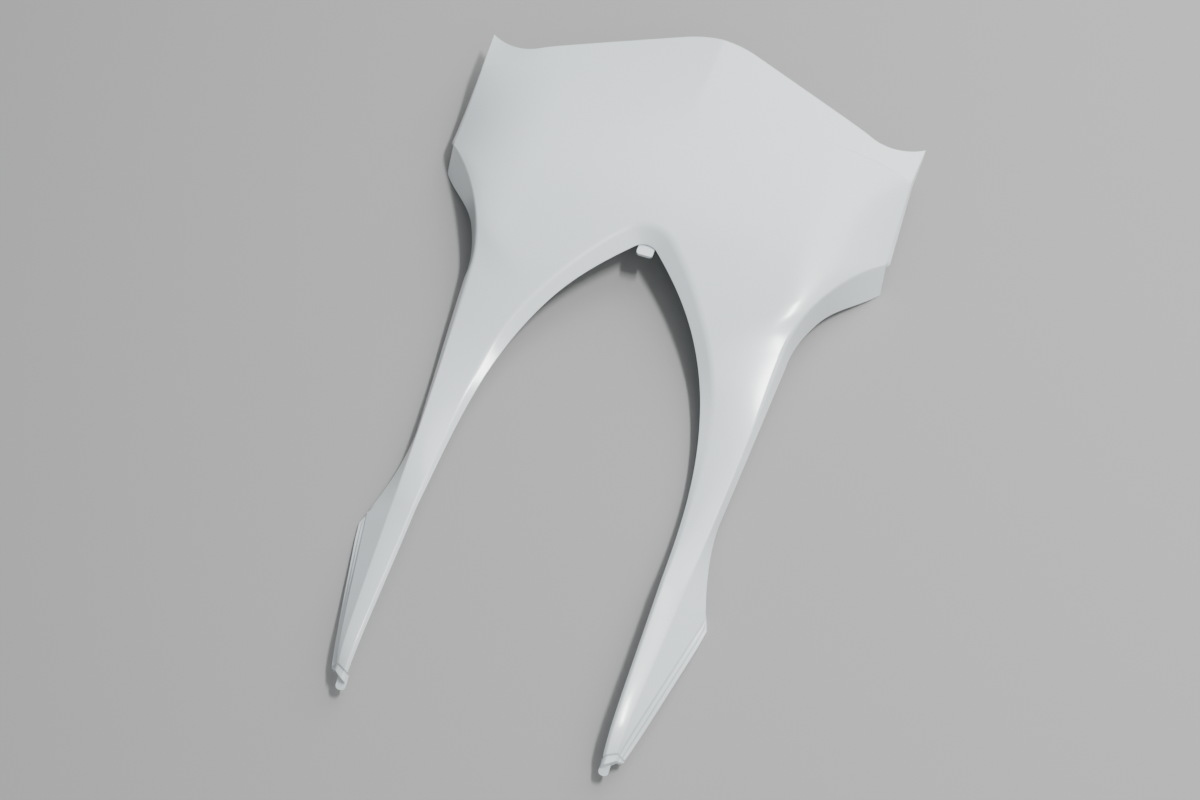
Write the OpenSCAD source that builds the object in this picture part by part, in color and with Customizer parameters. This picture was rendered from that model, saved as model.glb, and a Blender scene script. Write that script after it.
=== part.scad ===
// Upper nose cowl of a motorcycle fairing: one thin moulded panel, wide at the top edge,
// with two legs round a pointed-arch opening. It lies on its rim with the outer face up.
// +Y runs from the leg tips to the top edge, and the two halves mirror about X = 0.

/* [Overall] */
// Distance from the tongue ends to the point where the two top edges would meet
panel_len = 466.5; // [450:0.5:490]
// Width across the ear tips
panel_w = 280; // [270:1:320]
// How far the hip corners lie in from the ear tips
hip_inset = 3; // [1:0.1:8]
// How far from the centre the face starts to roll down to the sides
roll_start = 85; // [70:1:95]
// Thickness of the moulded wall
wall = 2.6; // [2:0.1:3.2]

/* [Top edge] */
// Angle that each top edge sweeps back from the centre, in degrees
top_sweep = 23.3; // [18:0.1:28]
// Radius that rounds the meeting point of the two top edges
apex_round = 58; // [30:1:80]
// How far from the centre the ear starts to rise from the top edge
ear_root = 107; // [95:1:115]
// How far the ear tip rises past the straight top edge
ear_rise = 21.4; // [10:0.2:28]

/* [Sides and legs] */
// Distance down from the meeting point of the top edges to the crease on the side edge
crease_down = 68.5; // [62:0.5:80]
// Distance down to the hip corners
hip_down = 121.5; // [108:0.5:135]
// Half the width at the waist, where the legs start
waist_half_w = 95.7; // [88:0.1:104]
// Distance down to the waist
waist_down = 204.5; // [195:0.5:215]
// Half the width over the ridges at the shoulders of the lower legs
ridge_half_w = 85; // [82:0.5:90]
// Distance from the tongue ends up to the shoulders
shoulder_pos = 103.4; // [90:0.2:115]
// How far the outer facet stands out from the ridge at the shoulder
shoulder_out = 14.9; // [10:0.1:19]
// Length over which the outer edge flares out to the shoulder
flare_len = 54; // [38:1:60]
// How far the outer bevel stands out from the ridge along the upper leg
bevel_out = 2.4; // [1.5:0.1:4]
// How far it stands out at the waist
waist_bevel_out = 3.6; // [2:0.1:6]
// How far the notch flange leans out from the hip corners to the floor
flange_lean = 10.6; // [8:0.2:14]

/* [Opening between the legs] */
// Distance from the meeting point of the top edges down to the opening
crown_len = 159.2; // [150:0.2:170]
// Radius that rounds the top of the opening
arch_round = 10; // [7:0.5:16]
// Angle of the opening's sides to the centre line at the top, in degrees
arch_point = 45.5; // [38:0.5:48]
// Half the width of the opening where its two curves join
arch_half_w = 58.5; // [52:0.1:62]
// Distance down from the meeting point of the top edges to the place where the curves join
arch_down = 241.5; // [225:0.5:260]
// Angle of the opening's sides to the centre line where the curves join, in degrees
arch_lean = 18; // [12:0.5:24]
// Half the width of the opening between the straight parts of the legs
opening_half_w = 71; // [68:0.1:72.5]
// Distance from the tongue ends up to the start of the straight inner edges
straight_pos = 110; // [90:1:130]
// Width of the bevel round the top of the opening
bevel_w = 9.5; // [7:0.1:11]
// Width of the bevel along the inner edge of the legs
leg_bevel_w = 5.4; // [4:0.1:6.5]
// How far the bevel falls at the top of the opening
bevel_drop = 7.2; // [5:0.1:9]
// How far the bevel falls along the legs
leg_bevel_drop = 4.3; // [3:0.1:6]

/* [Heights above the floor] */
// Outer face along the top edge
top_z = 34.5; // [30:0.1:42]
// Crest of the outer face, between the opening and the top edge
dome_z = 39.5; // [36:0.1:46]
// Distance down from the meeting point of the top edges to the crest
dome_down = 76.5; // [66:0.5:92]
// Outer face above the opening
arch_z = 35.4; // [33:0.1:39]
// Inner crest of the legs
leg_z = 20.4; // [18:0.1:26]
// Inner crest at the leg tips
tip_z = 24.5; // [20:0.1:28]
// Outer corner of the facet at the leg tips
facet_tip_z = 16; // [13:0.1:18]
// How far the leg droops over its last stretch
tip_droop = 6; // [3:0.1:7]
// Ear tips
ear_z = 25; // [20:0.1:30]
// Height that the ears would reach without the fold beside the top edge
ear_base_z = 32; // [29:0.1:36]
// Hip corners, at the top of the notch flange
hip_z = 17.8; // [14:0.1:22]
// Ridge of the legs at the waist
waist_z = 22.5; // [19:0.1:27]
// Ridge of the upper legs, which its curve is drawn down to
ridge_low_z = 13.5; // [12:0.1:17]
// Ridge of the legs at the shoulder
shoulder_z = 17.5; // [14:0.1:22]
// Lower edge of the notch flange at the waist
waist_rim_z = 12; // [9:0.1:14]
// Outer edge of the upper legs
leg_rim_z = 6.5; // [5:0.1:9]
// Rim of the rebate at the leg tips
foot_rim_z = 10.5; // [8:0.1:12]
// How far the legs' faces bulge between the bevel and the ridge
leg_bulge = 0.8; // [0:0.1:2]

/* [Edges] */
// Depth of the return along the top and side edges
edge_return = 3.2; // [2.8:0.1:6]
// How far that return leans out beside the hip corners, to its depth
side_lean = 0.75; // [0:0.05:1]
// First step down of the rebate on the lower legs
rebate_step = 1.5; // [1:0.1:2]
// Second step down of the rebate
lip_step = 0.9; // [0.5:0.1:1.4]
// Width of the rebate from its first step to the rim
rebate_w = 4.5; // [3:0.1:5]
// Thickness of the rebate
rebate_wall = 1.8; // [1.4:0.1:2.2]
// Length of the rebate past the end of the leg
end_ledge = 4.2; // [3:0.1:5]
// Height of the last edge, under that ledge
end_drop = 2.4; // [1.5:0.1:3]
// Distance from the tongue ends to the inner corner of the leg's end
end_pos = 8.4; // [8:0.1:11]

/* [Tongues and tab] */
// Width of the locating tongue on each leg tip
tongue_w = 5.4; // [5:0.1:7.5]
// Length of the tongue that shows past the rebate
tongue_len = 4.6; // [3:0.1:6]
// Angle that the tongue dips below level, in degrees
tongue_dip = 24; // [15:1:35]
// Width of the tab under the top of the opening
tab_w = 10; // [7:0.1:14]
// How far the tab reaches past the edge of the opening
tab_reach = 7.2; // [6:0.1:11]
// Thickness of the tongues and the tab
tab_t = 2.2; // [1.6:0.1:2.6]

/* [Screw bosses] */
// Distance of the upper bosses from the centre line
boss_x = 60; // [45:1:75]
// Distance down from the meeting point of the top edges to the upper bosses
boss_down = 70.5; // [62:0.5:82]
// Distance of the lower bosses from the centre line
low_boss_x = 64; // [50:1:75]
// Distance down to the lower bosses
low_boss_down = 148.5; // [136:0.5:156]
// Diameter of the bosses
boss_d = 9; // [7:0.1:11]
// Diameter of the pilot hole in each boss
pilot_d = 4; // [2.5:0.1:5]
// Depth of the pilot holes
pilot_depth = 9; // [5:0.5:11]
// Thickness of the ribs that stiffen each boss
rib_t = 1.6; // [1.2:0.1:2]
// How far the ribs reach out from the boss at the wall
rib_reach = 4; // [2:0.5:6]
// Height of the bosses' faces above the floor
boss_face_z = 21; // [16:0.5:23]

/* [Hidden] */
panel_colour = [0.80, 0.83, 0.85];
round_faces = 48;

// Places measured from the tongue ends, and half widths
ear_half_w = panel_w / 2;
hip_half_w = ear_half_w - hip_inset;
crease_pos = panel_len - crease_down;
hip_pos = panel_len - hip_down;
waist_pos = panel_len - waist_down;
opening_len = panel_len - crown_len;
arch_pos = panel_len - arch_down;
dome_pos = panel_len - dome_down;
flare_pos = shoulder_pos + flare_len;

// How many stations each stretch of the outline gets
crown_steps = 12;
ear_steps = 8;
ear_side_steps = 4;
hip_side_steps = 7;
notch_steps = 13;
leg_steps = 10;
flare_steps = 5;
foot_steps = 8;
// How many strips the face has between the bevel and the ridge
face_strips = 10;
// Gap that keeps two stations apart at a sharp corner
corner_gap = 0.5;
// How far a step or an edge leans out, so that it can leave its mould
draft = 0.4;

function lerp(a, b, t) = a + (b - a) * t;
function ease(t) = t <= 0 ? 0 : t >= 1 ? 1 : t * t * (3 - 2 * t);
function unit(v) = v / norm(v);
function curve3(a, b, c, t) = lerp(lerp(a, b, t), lerp(b, c, t), t);
function curve4(a, b, c, d, t) = lerp(curve3(a, b, c, t), curve3(b, c, d, t), t);
// The legs droop, slant, splay and lose their bevel only over the last stretch, t near 1
function last_stretch(t) = pow(max(0, t), 9);
function flat(p) = [p.x, p.y];
function raised(p, z) = [p.x, p.y, z];

// Top edge: an arc over the centre, a straight stretch and a concave sweep up to the ear
arc_centre_y = panel_len - apex_round / cos(top_sweep);
arc_end_x = apex_round * sin(top_sweep);
function sweep_y(x) = panel_len - x * tan(top_sweep);
function top_edge(x) =
    [x, x < arc_end_x ? arc_centre_y + sqrt(pow(apex_round, 2) - x * x) : sweep_y(x)];
ear_turn_share = 0.42;
ear_turn_x = lerp(ear_root, ear_half_w, ear_turn_share);
ear_tip = [ear_half_w, sweep_y(ear_half_w) + ear_rise];
function ear_edge(t) =
    curve3(top_edge(ear_root), [ear_turn_x, sweep_y(ear_turn_x)], ear_tip, t);

// The ear folds down beyond a crease that starts on the side edge beside the top edge
crease_out = 0.5;
crease_end = [hip_half_w + crease_out, crease_pos];
fold_fade = 8;
fold_start_x = ear_root - fold_fade;
across_fold = [sin(top_sweep), cos(top_sweep)];
fold_slope = (ear_base_z - ear_z) / ((ear_tip - crease_end) * across_fold);
function ear_fold(p) =
    fold_slope * max(0, (flat(p) - crease_end) * across_fold)
    * ease((p.x - fold_start_x) / (ear_half_w - fold_start_x));

// The crown is a dome that falls to the swept top edge, to the opening and, in a roll, to the
// sides. Its height at a place in plan:
side_sag = 2.5;
function squared(v) = pow(max(0, v), 2);
function side_z(y) =
    curve4(ear_base_z, ear_base_z - side_sag, hip_z, hip_z,
           min(1, max(0, (ear_tip.y - y) / (ear_tip.y - hip_pos))));
function dome(p) =
    let (swept_y = p.y + p.x * tan(top_sweep),
         z = dome_z - (dome_z - top_z) * squared((swept_y - dome_pos) / (panel_len - dome_pos))
             - (dome_z - arch_z) * squared((dome_pos - p.y) / (dome_pos - opening_len - bevel_w)))
    lerp(z, side_z(p.y), squared((p.x - roll_start) / (hip_half_w - roll_start)));

// Opening: a rounded point, two curves and a straight stretch, numbered 0 to 4 along q
flank_turn = 90 - arch_point;
arch_foot = [arch_round * sin(flank_turn),
             opening_len - arch_round + arch_round * cos(flank_turn)];
arch_join = [arch_half_w, arch_pos];
straight_top = [opening_half_w, straight_pos];
leg_end = [opening_half_w, end_pos];
leg_splay = 0.8;
// Share of a curve's span over which it holds the direction that it starts with
hold = 0.35;
flank_pull = hold * norm(arch_join - arch_foot);
leg_pull = hold * norm(straight_top - arch_join);
flank_dir = [sin(arch_point), -cos(arch_point)];
join_dir = [sin(arch_lean), -cos(arch_lean)];

function opening(q) =
    q < 1 ? [arch_round * sin(flank_turn * q),
             opening_len - arch_round + arch_round * cos(flank_turn * q)] :
    q < 2 ? curve4(arch_foot, arch_foot + flank_pull * flank_dir,
                   arch_join - flank_pull * join_dir, arch_join, q - 1) :
    q < 3 ? curve4(arch_join, arch_join + leg_pull * join_dir,
                   straight_top + [0, leg_pull], straight_top, q - 2) :
    lerp(straight_top, leg_end, q - 3) + [leg_splay * last_stretch(q - 3), 0];

// Plan direction from the opening's edge into the panel, slanted at the end of the leg
function droop(t) = tip_droop * last_stretch(t);
end_slant = 0.33;
near = 0.02;
function inward(q) =
    q == 0 ? [0, 1] :
    q > 3 ? [1, end_slant * last_stretch(q - 3)] :
    let (along = unit(opening(q + near) - opening(q - near))) [-along.y, along.x];

end_bevel_loss = 0.6;
function bevel_at(q) = lerp(bevel_w, leg_bevel_w, ease(q - 1));
function bevel_fall(q) =
    lerp(bevel_drop, leg_bevel_drop, ease(q - 1))
    - end_bevel_loss * leg_bevel_drop * last_stretch(q - 3);
function crest_at(q) = opening(q) + bevel_at(q) * inward(q);
bend = dome(crest_at(2));
bend_slope = (dome(crest_at(1.9)) - bend) / norm(crest_at(1.9) - crest_at(2));
function crest_z(q) =
    q < 2 ? dome(crest_at(q)) :
    q < 3 ? curve3(bend, bend - bend_slope * (arch_pos - straight_pos) / 2, leg_z, q - 2) :
    lerp(leg_z, tip_z, ease(q - 3)) - droop(q - 3);
function crest(q) = raised(crest_at(q), crest_z(q));
function rim_in(q) = raised(opening(q), crest_z(q) - bevel_fall(q));

// Side edge from the ear tip down to the hip corner, t from 0 to 1
function side_edge(t) =
    let (y = lerp(ear_tip.y, hip_pos, t))
    [y > crease_pos ? lerp(crease_end.x, ear_half_w, (y - crease_pos) / (ear_tip.y - crease_pos)) :
         lerp(hip_half_w, crease_end.x, (y - hip_pos) / (crease_pos - hip_pos)),
     y];

// Notch between hip corner and waist, its crease rising over the fold, t from 0 to 1
hip_corner = [hip_half_w, hip_pos];
waist = [waist_half_w, waist_pos];
notch = hip_corner - waist;
hip_pull = [0.57 * notch.x, 0.313 * notch.y];
waist_pull = [0, 0.313 * notch.y];
waist_ease = 0.58;
hip_turn = 81;
lean_ease = 1.9;
function notch_crease(t) =
    let (p = curve4(hip_corner, hip_corner - hip_pull, waist + waist_pull, waist, t))
    raised(p, dome(p) - (dome(waist) - waist_z) * ease((t - waist_ease) / (1 - waist_ease)));
function notch_rim(t) =
    let (turn = -hip_turn * (1 - t),
         out = lerp(flange_lean, waist_bevel_out, ease(lean_ease * t)))
    raised(flat(notch_crease(t)) + out * [cos(turn), sin(turn)], waist_rim_z * sin(90 * t));

// Ridge of the upper leg, t from 0 at the waist to 1 at the shoulder
flare_from = (waist_pos - flare_pos) / (waist_pos - shoulder_pos);
ridge_sag = 2.5;
function leg_ridge(t) =
    [lerp(waist_half_w, ridge_half_w, t),
     lerp(waist_pos, shoulder_pos, t),
     curve4(waist_z, ridge_low_z - ridge_sag, ridge_low_z, shoulder_z, t)];
shoulder = [ridge_half_w + shoulder_out, shoulder_pos,
            rebate_wall + rebate_step + lip_step];
flare_turn = [-0.8, -24];
function leg_rim(t) =
    t < flare_from ?
        let (p = leg_ridge(t))
        [p.x + lerp(waist_bevel_out, bevel_out, t / flare_from), p.y,
         lerp(waist_rim_z, leg_rim_z, ease(t / flare_from))] :
        let (p = leg_ridge(flare_from))
        curve3([p.x + bevel_out, p.y, leg_rim_z],
               [p.x + bevel_out + flare_turn.x, p.y + flare_turn.y, leg_rim_z],
               shoulder, (t - flare_from) / (1 - flare_from));

// Lower leg, t from 0 at the shoulder to 1 at its end
end_w = 8.8;
end_back = 3.6;
facet_end = [opening_half_w + end_w, end_pos + end_back];
facet_taper = [1.2, 0.3, -1.8];
function foot_ridge(t) =
    lerp(leg_ridge(1), raised(facet_end, facet_tip_z + tip_droop) - facet_taper, t)
    - [0, 0, droop(t)];
function foot_facet(t) =
    lerp(shoulder, raised(facet_end, facet_tip_z + tip_droop), t) - [0, 0, droop(t)];
foot_dir = unit(facet_end - flat(shoulder));
foot_out = [-foot_dir.y, foot_dir.x];
rim_start = 0.065;
corner_rebate = 0.83;
corner_end = 0.18;
rebate_taper = 0.12;
end_taper = 0.15;
function foot_rim(t) =
    let (w = rebate_w * (1 - rebate_taper * t - end_taper * last_stretch(t))
             * min(1, draft / rebate_w + t / rim_start)
             * lerp(corner_rebate, 1, min(1, t / corner_end)))
    raised(flat(foot_facet(t)) + w * foot_out,
           lerp(rebate_wall, foot_rim_z, max(0, t - rim_start) / (1 - rim_start)));

// A station runs across the wall from the opening's edge (a) over the bevel's crest (b) and
// the face to the ridge (c), the facet's end (d) and the rim (e). The face follows the dome
// as far as domed says, 1 to 0, and otherwise bulges a little. The rebate, 0 to 1, is how much
// of its two steps lie between d and e: a step, a floor, a lower step and the rim.
plain_at = [0.25, 0.5, 0.75, 1];
rebate_at = [0.1, 0.5, 0.6, 1];
function station(q, c, d, e, domed, rebate) =
    let (a = rim_in(q), b = crest(q), fall = d.z - e.z,
         steps = rebate * (rebate_step + lip_step),
         slope = max(0, fall - steps))
    concat([a],
           [for (k = [0:face_strips]) let (u = k / face_strips, p = lerp(b, c, u),
                bulged = p.z + leg_bulge * 4 * u * (1 - u))
               k == face_strips ? c : raised(p, lerp(bulged, dome(p) - ear_fold(p), domed))],
           [d],
           [for (k = [0:3]) let (
               u = lerp(plain_at[k], rebate_at[k], rebate),
               drop = plain_at[k] * slope + rebate * (rebate_step + (k > 1 ? lip_step : 0)))
               raised(lerp(flat(d), flat(e), u), d.z - drop)]);

// Along the top and side edges the rim is a short return, and out leads away from the panel
lean = 0.12;
return_d = 0.4;
function edge_station(q, p, out) =
    let (top = raised(p, dome(p) - ear_fold(p)), rim = top + edge_return * raised(out, -1))
    station(q, top, lerp(top, rim, return_d), rim, 1, 0);

// How far the facet's end d lies from the ridge to the rim on the notch flange and on the leg
notch_d = 0.6;
leg_d = 0.85;

// How far round the opening each stretch reaches
crown_q = 0.6;
ear_q = 1.05;
hip_q = 1.35;
waist_q = 1.78;
shoulder_q = 3.06;

crown = [for (k = [0:crown_steps - 1]) let (t = k / crown_steps, x = ear_root * t,
             out = x < arc_end_x ? [x, sqrt(pow(apex_round, 2) - x * x)] / apex_round : across_fold)
         edge_station(crown_q * t, top_edge(x), lean * out)];
ear = [for (k = [0:ear_steps])
       let (t = k / ear_steps, along = ear_edge(t + near) - ear_edge(t - near))
       edge_station(lerp(crown_q, ear_q, t), ear_edge(t), lean * unit([-along.y, along.x]))];
crease_t = (ear_tip.y - crease_pos) / (ear_tip.y - hip_pos);
last_side_t = 1 - corner_gap / (ear_tip.y - hip_pos);
function side_t(k) =
    k <= ear_side_steps ? crease_t * k / ear_side_steps :
    lerp(crease_t, last_side_t, (k - ear_side_steps) / hip_side_steps);
side = [for (k = [1:ear_side_steps + hip_side_steps]) let (t = side_t(k))
        edge_station(lerp(ear_q, hip_q, t), side_edge(t),
                     [t < last_side_t ? lerp(lean, side_lean, t) : lean, 0])];
flange = [for (k = [0:notch_steps - 1])
          let (t = k / notch_steps, c = notch_crease(t), e = notch_rim(t))
          station(lerp(hip_q, waist_q, t), c, lerp(c, e, notch_d), e, 1 - ease(2 * t - 1), 0)];
function leg_station(t) =
    let (c = leg_ridge(t), e = leg_rim(t))
    station(lerp(waist_q, shoulder_q, t), c, lerp(c, e, leg_d), e, 0, 0);
leg = concat([for (k = [0:leg_steps - 1]) leg_station(flare_from * k / leg_steps)],
             [for (k = [0:flare_steps - 1]) leg_station(lerp(flare_from, 1, k / flare_steps))]);
foot = [for (k = [-1:foot_steps])
        let (t = k < 1 ? (k + 1) * rim_start : lerp(rim_start, 1, k / foot_steps))
        station(lerp(shoulder_q, 4, t), foot_ridge(t), foot_facet(t), foot_rim(t), 0,
                min(1, t / rim_start))];

// At its end the leg steps down to a ledge, which is shorter towards the rim, and ends in a
// low edge
last = foot[len(foot) - 1];
columns = len(last);
end_span = last[columns - 1].x - last[0].x;
ledge_taper = 0.9;
ledge_fall = 1;
ledge_in = 0.4;
function past_end(p, run, fall) =
    let (u = (p.x - last[0].x) / end_span, share = 1 - ledge_taper * pow(u, 3))
    p + [ledge_in * (1 - u), -draft - run * share, -rebate_step - fall * share];
foot_end = [[for (p = last) past_end(p, 0, 0)],
            [for (p = last) past_end(p, end_ledge, ledge_fall)],
            [for (p = last) past_end(p, end_ledge + draft, ledge_fall + end_drop)]];

half_face = concat(crown, ear, side, flange, leg, foot, foot_end);
function mirrored(row) = [for (p = row) [-p.x, p.y, p.z]];
half_rows = len(half_face);
face = concat([for (k = [half_rows - 1:-1:1]) mirrored(half_face[k])], half_face);
rows = len(face);
leg_rows = len(foot_end) + len(foot);

// The inner skin lies one wall inside the face, mitred at the creases as far as the limits
// allow. On the rebate it lies straight below, and the outer rim is cut level.
mitre_limit = 0.72;
level_limit = 0.62;
function row_dir(i, j) = face[min(rows - 1, i + 1)][j] - face[max(0, i - 1)][j];
function mitre(i, j) =
    let (v = row_dir(i, j),
         before = j == 0 ? undef : unit(cross(v, face[i][j] - face[i][j - 1])),
         after = j == columns - 1 ? undef : unit(cross(v, face[i][j + 1] - face[i][j])),
         n = j == 0 ? after : j == columns - 1 ? before : unit(before + after))
    n / max(mitre_limit, n * (j == 0 ? after : before));
ridge_column = face_strips + 1;
function rank(i) = min(i, rows - 1 - i);
function inset(i, j) =
    rank(i) < len(foot_end) ? [0, 0, j > ridge_column ? rebate_wall : wall] :
    rank(i) < leg_rows && j > ridge_column ? [0, 0, rebate_wall] :
    j == columns - 1 ?
        let (n = mitre(i, j), level = norm(flat(n)))
        wall * raised(flat(n) / pow(max(level, level_limit), 2), 0) :
    wall * mitre(i, j);
back = [for (i = [0:rows - 1]) [for (j = [0:columns - 1]) face[i][j] - inset(i, j)]];

function grid_points(grid) = [for (row = grid) for (p = row) p];
function at(i, j, layer) = layer * rows * columns + i * columns + j;
function quad(a, b, c, d) = [[a, b, c], [a, c, d]];
shell_faces = concat(
    [for (i = [0:rows - 2]) for (j = [0:columns - 2])
        each quad(at(i, j, 0), at(i, j + 1, 0), at(i + 1, j + 1, 0), at(i + 1, j, 0))],
    [for (i = [0:rows - 2]) for (j = [0:columns - 2])
        each quad(at(i, j, 1), at(i + 1, j, 1), at(i + 1, j + 1, 1), at(i, j + 1, 1))],
    [for (i = [0:rows - 2]) each quad(at(i, 0, 0), at(i + 1, 0, 0), at(i + 1, 0, 1), at(i, 0, 1))],
    [for (i = [0:rows - 2]) let (j = columns - 1)
        each quad(at(i, j, 0), at(i, j, 1), at(i + 1, j, 1), at(i + 1, j, 0))],
    [for (j = [0:columns - 2])
        each quad(at(0, j, 0), at(0, j, 1), at(0, j + 1, 1), at(0, j + 1, 0))],
    [for (j = [0:columns - 2]) let (i = rows - 1)
        each quad(at(i, j, 0), at(i, j + 1, 0), at(i, j + 1, 1), at(i, j, 1))]);

module shell() {
    polyhedron(concat(grid_points(face), grid_points(back)), shell_faces);
}

// Flat plate with two rounded corners, reaching from the origin to -Y with its top at Z = 0
module round_plate(w, reach, t, r) {
    translate([0, 0, -t])
        linear_extrude(t) {
            translate([-w / 2, r - reach]) square([w, reach - r]);
            translate([r - w / 2, -reach]) square([w - 2 * r, r]);
            for (x = [r - w / 2, w / 2 - r])
                translate([x, r - reach]) circle(r, $fn = round_faces);
        }
}

tongue_root = 4;
tongue_inset = -0.6;
end_z = foot_end[2][0].z;
module tongue() {
    translate([foot_end[2][0].x + tongue_inset + tongue_w / 2,
               tongue_len * cos(tongue_dip), end_z])
        rotate([tongue_dip, 0, 0])
        translate([0, tongue_root, 0])
        round_plate(tongue_w, tongue_len + tongue_root, tab_t, tongue_w / 3);
}

tab_root = 3.4;
tab_below = 0.2;
module notch_tab() {
    translate([0, opening_len + tab_root, arch_z - bevel_drop - tab_below])
        round_plate(tab_w, tab_reach + tab_root, tab_t, tab_w / 6);
}

// Height of the face at the grid point nearest to a place in plan
function face_z(x, y) =
    let (gaps = [for (row = half_face) for (p = row) norm(flat(p) - [x, y])],
         least = min(gaps))
    [for (row = half_face) for (p = row) if (norm(flat(p) - [x, y]) <= least) p.z][0];

boss_bite = 0.4 * wall;
rib_above = 3;
module screw_boss(x, y) {
    h = face_z(x, y) - wall + boss_bite - boss_face_z;
    rib_h = h - rib_above;
    translate([x, y, boss_face_z])
        difference() {
            union() {
                cylinder(h = h, d = boss_d, $fn = round_faces);
                for (turn = [0:90:270])
                    rotate(turn)
                        translate([0, rib_t / 2, rib_above])
                        rotate([90, 0, 0])
                        linear_extrude(rib_t)
                        polygon([[0, 0], [boss_d / 2, 0], [boss_d / 2 + rib_reach, rib_h],
                                 [0, rib_h]]);
            }
            translate([0, 0, -1])
                cylinder(h = pilot_depth + 1, d = pilot_d, $fn = round_faces);
        }
}

// The panel stands with the middle of its length at the origin
length = top_edge(0).y + lean * edge_return;
module nose_panel() {
    color(panel_colour)
    translate([0, -length / 2, 0]) {
        shell();
        notch_tab();
        for (side = [0, 1])
            mirror([side, 0, 0]) {
                tongue();
                screw_boss(boss_x, panel_len - boss_down);
                screw_boss(low_boss_x, panel_len - low_boss_down);
            }
    }
}

nose_panel();
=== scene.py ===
import math

import bmesh
import bpy
import numpy as np
from mathutils import Matrix, Vector


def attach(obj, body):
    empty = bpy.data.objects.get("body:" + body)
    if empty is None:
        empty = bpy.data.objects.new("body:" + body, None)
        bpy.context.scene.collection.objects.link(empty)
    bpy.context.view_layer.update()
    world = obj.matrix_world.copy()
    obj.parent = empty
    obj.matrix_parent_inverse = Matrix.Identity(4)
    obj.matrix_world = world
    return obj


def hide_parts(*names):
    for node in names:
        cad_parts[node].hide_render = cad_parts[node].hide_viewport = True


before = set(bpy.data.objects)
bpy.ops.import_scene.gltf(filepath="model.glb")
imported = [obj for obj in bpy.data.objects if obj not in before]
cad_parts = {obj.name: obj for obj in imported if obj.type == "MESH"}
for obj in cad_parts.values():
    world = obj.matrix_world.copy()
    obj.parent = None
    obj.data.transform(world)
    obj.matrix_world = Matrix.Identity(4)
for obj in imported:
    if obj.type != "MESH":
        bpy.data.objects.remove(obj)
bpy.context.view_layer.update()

MM = 0.001

# Overall and top edge, with places measured from the tongue ends. PANEL_LEN reaches to where the
# top edge's two straight stretches would meet, above its rounded middle.
PANEL_LEN = 466.5
EAR_HALF_W = 140
HIP_HALF_W = 137
ROLL_START = 85
WALL = 2.6
TOP_SWEEP = math.radians(23.3)
APEX_ROUND = 58
EAR_ROOT = 107
EAR_RISE = 21.4
EAR_TURN = 0.42

# Sides and legs
CREASE_POS = PANEL_LEN - 68.5
HIP_POS = PANEL_LEN - 121.5
WAIST_HALF_W = 95.7
WAIST_POS = PANEL_LEN - 204.5
RIDGE_HALF_W = 85
SHOULDER_POS = 103.4
SHOULDER_OUT = 14.9
FLARE_POS = SHOULDER_POS + 54
FLARE_TURN = (-0.8, -24)
BEVEL_OUT = 2.4
WAIST_BEVEL_OUT = 3.6
FLANGE_LEAN = 10.6
HIP_TURN = math.radians(81)
NOTCH_REACH = (0.57, 0.313)
WAIST_EASE = 0.58

# Along the notch, t is 0 at the hip corner and 1 at the waist. Between the two its crease is sunk
# by NOTCH_ROLL, and near the hip the face follows the dome for longer before it rolls over. IN,
# OUT and WAIT say how fast and how late each change comes.
NOTCH_ROLL = 1.5
NOTCH_ROLL_IN = 2.5
NOTCH_ROLL_OUT = 3
NOTCH_SOFT_IN = 4
NOTCH_LEAN_IN = 1.9
WAIST_SOFT_OUT = 3
HIP_FACE_ROLL = 8
FACE_ROLL = 3
FACE_ROLL_IN = 3
FACE_ROLL_WAIT = 1.5

# Opening between the legs
OPENING_LEN = PANEL_LEN - 159.2
ARCH_ROUND = 10
ARCH_POINT = math.radians(45.5)
ARCH_HALF_W = 58.5
ARCH_POS = PANEL_LEN - 241.5
ARCH_LEAN = math.radians(18)
OPENING_HALF_W = 71
STRAIGHT_POS = 110
LEG_SPLAY = 0.8
HOLD = 0.35
BEVEL_W = 9.5
LEG_BEVEL_W = 5.4
BEVEL_DROP = 7.2
END_SLANT = 0.33

# The moulding's bevel narrows more down the legs than the part's: where round the opening each
# change starts and ends, and what it leads to
BEVEL_WIDTHS = ((1, 1.6, 7.2), (1.95, 2.6, 2.6), (2.6, 3.2, 1.65))
BEVEL_DROPS = ((1, 1.6, 5.3), (1.75, 2.25, 2))
CREST_SOFTS = ((1, 2, 1.8), (2.1, 2.7, 0.8))

# Heights above the floor, with the crest a hair below the part's, whose facets just miss it
TOP_Z = 34.5
DOME_Z = 39.499
DOME_POS = PANEL_LEN - 76.5
ARCH_Z = 35.4
LEG_Z = 20.4
TIP_Z = 24.5
FACET_TIP_Z = 16
TIP_DROOP = 6
EAR_Z = 25
EAR_BASE_Z = 32
SIDE_SAG = 2.5
HIP_Z = 17.8
WAIST_Z = 22.5
RIDGE_LOW_Z = 13.5
RIDGE_DIP = 2.5
SHOULDER_Z = 17.5
WAIST_RIM_Z = 12
LEG_RIM_Z = 6.5
FOOT_RIM_Z = 10.5
LEG_BULGE = 0.8
BULGE_W = 30
FOLD_FADE = 8
CREASE_OUT = 0.5

# The ear folds down beyond a crease, which starts with a slight step that fades inward
FOLD_POS = PANEL_LEN - 65.5
FOLD_TURN = math.radians(4.8)
FOLD_STEP = 0.24
FOLD_STEP_W = 1.4
FOLD_STEP_X = 55
FOLD_STEP_FADE = 50

# Edges and rebate
EDGE_RETURN = 3.2
LEAN = 0.12
SIDE_LEAN = 0.75
REBATE_STEP = 1.5
LIP_STEP = 0.9
REBATE_W = 4.5
REBATE_WALL = 1.8

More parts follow.
